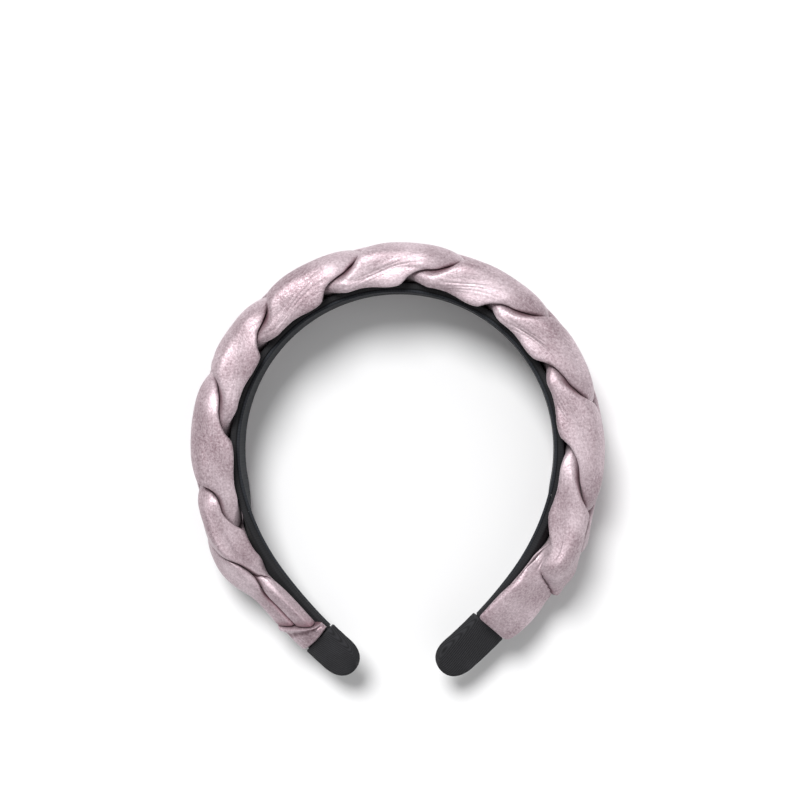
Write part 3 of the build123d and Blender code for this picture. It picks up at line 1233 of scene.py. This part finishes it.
@dataclass
class EndFold:
    """The satin folded over the left end of the plait: a slanted ridge, then a flat hem.

    The shares of the way go from the plait to the hem.
    """

    line: BandLine
    start: float = -166.5
    hem: float = -175.75
    width: float = 16.0
    height: float = 5.8
    seat: float = 0.3
    slant: float = 0.72
    bow: float = 0.9
    start_rise: float = 0.86
    hem_rise: float = 0.55
    ridge: Bell = Bell(0.26, 0.15, 0.11)
    valley: Bell = Bell(-0.12, 0.40, 0.13)
    gather: float = 0.045
    gather_turn: float = 2.3
    gather_fan: float = 3.0
    gathers_over: float = 0.3
    start_rounding: float = 0.10
    hem_rounding: float = 0.05
    hem_edge: float = 0.4
    side_power: float = 0.6
    arch_power: float = 0.55
    start_shade: Bell = Bell(0.7, 0.0, 0.06)
    valley_shade: Bell = Bell(0.45, 0.42, 0.10)
    rows: int = 60
    corners: int = 120
    girth: float = 0.04

    def rise(self, share: Array, across: Array) -> Array:
        """Share of the height by the share of the way to the hem.

        A ridge and a valley behind it are bells on a falling line. Small gathers fan out as
        cosines of the distance across, and both ends are rounded off as quarter circles.

        Args:
            share: Shares of the way, a row for each.
            across: Distances across, a column for each.

        Returns:
            Shares of the height.
        """
        line = between(self.start_rise, self.hem_rise, share)
        line = line + self.ridge.at(share) + self.valley.at(share)
        waves = 1 + np.cos(across * self.gather_turn + self.gather_fan * share)
        gathers = self.gather * waves * ease(share / self.gathers_over)
        first = np.clip(1 - share / self.start_rounding, 0.0, 1.0)
        last = np.clip(1 - (1 - share) / self.hem_rounding, 0.0, 1.0)
        edge = between(self.hem_edge, 1.0, np.sqrt(1 - last**2))
        return (line - gathers) * np.sqrt(1 - first**2) * edge

    def build(self, material: bpy.types.Material) -> None:
        """Makes the fold as a closed skin, from the hem to the plait.

        Its section is an arch: powers of the cosine across and of the sine out. Its rows lean
        with the slant near the plait and bow out towards the hem.

        Args:
            material: Its finish.
        """
        share = (0.5 + 0.5 * np.cos(np.linspace(0, math.pi, self.rows)))[:, None]
        along = between(self.start, self.hem, share[:, 0])
        angles = np.linspace(0, 2 * math.pi, self.corners, endpoint=False)[None]
        aside = np.sign(np.cos(angles)) * np.abs(np.cos(angles)) ** self.side_power
        across = self.width / 2 * aside
        arch = np.maximum(0.0, np.sin(angles)) ** self.arch_power
        seat = self.line.thickness / 2 + self.seat
        out = seat + self.height * self.rise(share, across) * arch
        ahead = self.bow * aside**2 * share - self.slant * across * (1 - share)
        points = self.line.place(along, out, across, ahead)
        piece = Mesh(points[None], self.girth, along).build("end_fold_left_satin")
        # Painted shade where the fold starts against the plait and in the valley behind its ridge.
        depth = self.start_shade.at(share) + self.valley_shade.at(share)
        shade_creases(piece, np.broadcast_to(depth, out.shape))
        dress(piece, material, "satin", "end_fold_left")


@dataclass
class Fray:
    """Loose threads at the corners of a sleeve's mouth, where the ribbon's raw edge frays."""

    line: BandLine
    side: Side
    mouth: float
    count: int = 9
    length: float = 2.6
    least_length: float = 0.45
    radius: float = 0.07
    taper: float = 0.6
    over_band: float = 1.0
    reach_in: float = 2.4
    spread: float = 0.8
    curl: float = 0.4
    lift: float = 0.5
    lowest: float = -0.6
    highest: float = 2.1
    inside_mouth: float = 0.4
    slowing: float = 0.25
    rows: int = 14
    corners: int = 6
    girth: float = 0.001
    seed: int = 11

    def build(self, name: str) -> bpy.types.Object:
        """Makes the threads as thin closed tubes.

        Each thread starts on the rim near a corner, runs towards the plait and curls away with a
        sine of its length. Its radius tapers. Every third thread is at the lower corner.

        Args:
            name: The piece's name.

        Returns:
            The piece, with all the threads of one sleeve.
        """
        rng = np.random.default_rng(self.seed + self.side.value)
        column = (self.count, 1)
        way = np.linspace(0, 1, self.rows)[None]
        corner = np.where(np.arange(self.count) % 3 == 0, -1.0, 1.0)[:, None]
        long = self.length * rng.uniform(self.least_length, 1.0, column)
        bend, spread = rng.uniform(-1, 1, column), rng.uniform(-0.4, 1.0, column)
        half = self.line.tip_width / 2 + self.over_band - rng.uniform(0, self.reach_in, column)
        across = corner * (half + self.spread * spread * way**2)
        across = across + self.curl * bend * np.sin(4.0 * way)
        out = rng.uniform(self.lowest, self.highest, column)
        out = out + self.lift * way * (1 + bend * np.sin(3 * way))
        run = long * way * (1 - self.slowing * way)
        along = self.side.value * (self.mouth + self.inside_mouth - run)
        turns = np.linspace(0, 2 * math.pi, self.corners, endpoint=False)[None, None]
        thin = (self.radius * (1 - self.taper * way))[..., None]
        if self.side is Side.RIGHT:
            along, across, out = along[:, ::-1], across[:, ::-1], out[:, ::-1]
        across = across[..., None] + thin * np.cos(turns)
        out = out[..., None] + thin * np.sin(turns)
        shape = (-1, self.corners)
        points = self.line.place(along.reshape(-1), out.reshape(shape), across.reshape(shape))
        points = points.reshape(*across.shape, 3)
        lengths = np.linspace(0, self.length, self.rows)
        return Mesh(points, self.girth, lengths).build(name)


COVER = BlackCloth("band_cover_cloth", (0.007, 0.007, 0.008), (0.026, 0.026, 0.029), 0.0009)
LINING = BlackCloth("lining_cloth", (0.010, 0.011, 0.014), (0.034, 0.038, 0.046), 0.0011)
RIBBON = BlackCloth("sleeve_cloth", (0.008, 0.008, 0.009), (0.055, 0.055, 0.062), 0.0005)


@dataclass
class Headband:
    """The whole headband, made piece by piece.

    The cover ends just short of the band's tips, and the lining at the mouths of the sleeves. The
    lining's middle lies a shift below the band's.
    """

    line: BandLine = field(default_factory=BandLine)
    left_sleeve: float = 18.1
    right_sleeve: float = 24.7
    cover_end: float = 192.6
    lining_start: float = -175.4
    lining_end: float = 168.9
    lining_thickness: float = 1.2
    lining_shift: float = -1.9
    lining_corner: float = 0.3
    lining_inset: float = 0.6

    def _cover(self) -> None:
        """Makes the band's cover."""
        strip = Strip(self.line, -self.cover_end, self.cover_end, self.line.thickness)
        dress(strip.build("band_cover"), COVER.material(), "band_cover", "band")

    def _lining(self) -> None:
        """Makes the lining on the band's inner face."""
        strip = Strip(
            self.line,
            self.lining_start,
            self.lining_end,
            self.lining_thickness,
            self.lining_shift,
            self.lining_corner,
            self.lining_inset,
        )
        dress(strip.build("lining_strip"), LINING.material(), "lining_ribbon", "inner_lining")

    def _sleeves(self) -> None:
        """Makes both sleeves and the threads at their mouths."""
        black = RIBBON.material()
        for side, length in ((Side.LEFT, self.left_sleeve), (Side.RIGHT, self.right_sleeve)):
            node = f"tip_sleeve_{side.name.lower()}"
            sleeve = Sleeve(self.line, side, length)
            dress(sleeve.build(node + "_ribbon"), black, "sleeve_ribbon", node)
            fray = Fray(self.line, side, sleeve.mouth)
            dress(fray.build(node + "_threads"), black, "sleeve_ribbon")

    def build(self) -> None:
        """Makes and dresses every piece."""
        satin = Satin().material()
        Plait(self.line).build(satin)
        EndFold(self.line).build(satin)
        self._cover()
        self._lining()
        self._sleeves()


@dataclass(frozen=True)
class Studio:
    """Camera at the photo's angle and soft white light, in metres and degrees.

    Half the view is what the picture shows to each side of its centre, at the height of the
    headband's middle. The centre is counted from the inner face at the top of the head.
    """

    distance: float = 0.9
    yaw: float = 2.5
    half_view: float = 0.1542
    middle_height: float = 0.018
    centre: tuple[float, float] = (0.00089, -0.042025)
    sensor: float = 36.0
    surroundings: float = 0.34

    def camera(self, line: BandLine) -> None:
        """Hangs the camera over the headband, looking down with the top of the head up.

        Args:
            line: The band's line, whose origin gives the centre its place.
        """
        data = bpy.data.cameras.new("camera")
        camera = bpy.data.objects.new("camera", data)
        bpy.context.scene.collection.objects.link(camera)
        bpy.context.scene.camera = camera
        x, y, z = (value / MM_PER_M for value in line.origin)
        target = Vector((self.centre[0] - x, self.centre[1] - y, -z))
        yaw = math.radians(self.yaw)
        back = Vector((math.sin(yaw), 0, math.cos(yaw)))
        right = Vector((0, 1, 0)).cross(back).normalized()
        turn = Matrix((right, back.cross(right), back)).transposed()
        camera.location = target + back * self.distance
        camera.rotation_mode = "QUATERNION"
        camera.rotation_quaternion = turn.to_quaternion()
        data.sensor_width = self.sensor
        data.lens = self.sensor / 2 * (self.distance - self.middle_height) / self.half_view

    def light(
        self, name: str, place: tuple[float, float, float], angle: float, power: float
    ) -> None:
        """Adds one distant soft light.

        Args:
            name: The light's name.
            place: A point that it shines from towards the headband.
            angle: How wide it looks, in degrees.
            power: Its strength.
        """
        data = bpy.data.lights.new(name, "SUN")
        data.angle = math.radians(angle)
        data.energy = power
        lamp = bpy.data.objects.new(name, data)
        lamp.location = place
        lamp.rotation_euler = (-Vector(place)).to_track_quat("-Z", "Y").to_euler()
        bpy.context.scene.collection.objects.link(lamp)

    def build(self, line: BandLine) -> None:
        """Sets up the camera, the lamps and the white surroundings.

        Args:
            line: The band's line.
        """
        self.camera(line)
        self.light("key", (-0.22, 0.58, 1.0), 24.0, 3.0)
        self.light("fill", (0.7, -0.4, 0.8), 80.0, 0.5)
        world = bpy.data.worlds.new("studio")
        world.use_nodes = True
        background = world.node_tree.nodes["Background"]
        background.inputs["Color"].default_value = (1.0, 1.0, 1.0, 1.0)
        background.inputs["Strength"].default_value = self.surroundings
        bpy.context.scene.world = world
        bpy.context.scene.view_settings.view_transform = "Standard"


def main() -> None:
    """Builds the headband, the floor and the studio."""
    logging.basicConfig(level=logging.INFO, format="%(name)s %(message)s")
    headband = Headband()
    headband.build()
    Floor().build()
    Studio().build(headband.line)


if __name__ == "__main__":
    main()
